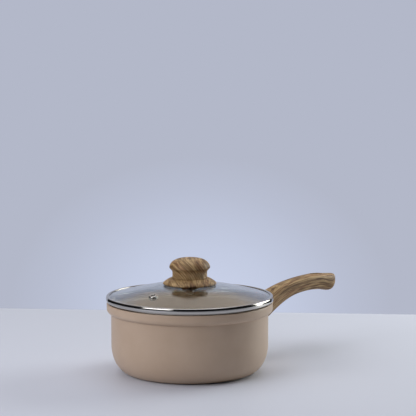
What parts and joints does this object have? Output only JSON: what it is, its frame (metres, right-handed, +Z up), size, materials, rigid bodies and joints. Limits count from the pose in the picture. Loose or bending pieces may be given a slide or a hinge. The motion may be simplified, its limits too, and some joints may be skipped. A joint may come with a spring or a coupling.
{
  "type": "saucepan with glass lid",
  "caption": "Round coated saucepan with a stepped rim band, a curved wood-look handle with a hanging slot, and a lift-off domed glass lid with steel rim, steam vent and turned knob.",
  "frame": {"origin": "centre of the flat base, on the surface that the pan stands on", "axes": "+Z up along the pan's axis, +X out along the handle, +Y to the left when looking from the pan towards the handle's end"},
  "size_m": [0.3265, 0.186, 0.1271],
  "materials": {
    "coating": "satin",
    "disc_steel": "satin",
    "cast_aluminium": "satin",
    "wood_look": "satin",
    "screw_steel": "satin",
    "spring_steel": "satin",
    "lid_glass": "gloss",
    "polished_steel": "polished",
    "clear_silicone": "satin",
    "grey_silicone": "matte",
    "brass": "satin"
  },
  "bodies": {
    "pan": {"pan_body": "coating", "induction_disc": "disc_steel", "handle_bracket": "cast_aluminium", "handle_grip": "wood_look", "handle_screw": "screw_steel", "handle_washer": "spring_steel"},
    "lid": {"lid_glass": "lid_glass", "lid_rim": "polished_steel", "rim_seal": "clear_silicone", "vent_eyelet": "polished_steel", "vent_ring": "polished_steel", "knob_grip": "wood_look", "knob_skirt": "wood_look", "knob_insert": "brass", "knob_gasket": "grey_silicone", "glass_grommet": "grey_silicone", "clamp_washer": "screw_steel", "lock_washer": "spring_steel", "knob_screw": "screw_steel"}
  },
  "joints": [
    {"name": "lid_lift", "type": "slide", "parent": "pan", "child": "lid", "axis": [0, 0, 1], "range_m": [0, 0.15]}
  ]
}
